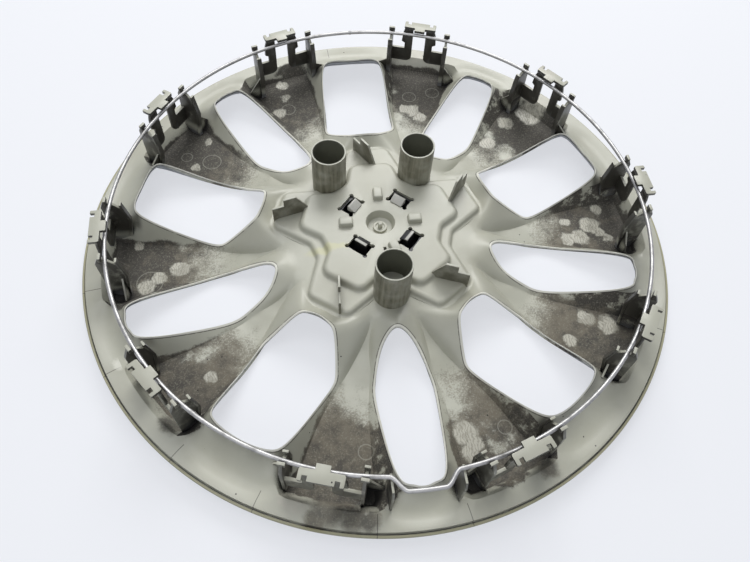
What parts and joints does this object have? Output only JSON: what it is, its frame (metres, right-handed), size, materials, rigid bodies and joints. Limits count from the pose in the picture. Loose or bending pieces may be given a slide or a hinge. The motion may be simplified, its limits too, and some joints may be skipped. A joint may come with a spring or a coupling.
{
  "type": "wheel cover",
  "caption": "Moulded plastic wheel cover lying face down, with curved windows between broad spokes, sprung clip towers, a wire retention ring, stud tubes and a bare round centre badge.",
  "frame": {"origin": "centre of the box's bottom, on the wheel axis, level with the lowest spoke faces", "axes": "+Z along the wheel axis towards the wheel; +Y through the middle of one wide window"},
  "size_m": [0.44, 0.44, 0.0588],
  "materials": {
    "silver_paint_plastic": "satin silver-grey plastic with brake dust",
    "zinc_spring_wire": "zinc-plated spring wire",
    "badge_plastic": "satin silver"
  },
  "bodies": {
    "root": {"cover": "silver_paint_plastic", "retention_ring": "zinc_spring_wire", "centre_badge": "badge_plastic"}
  },
  "joints": []
}
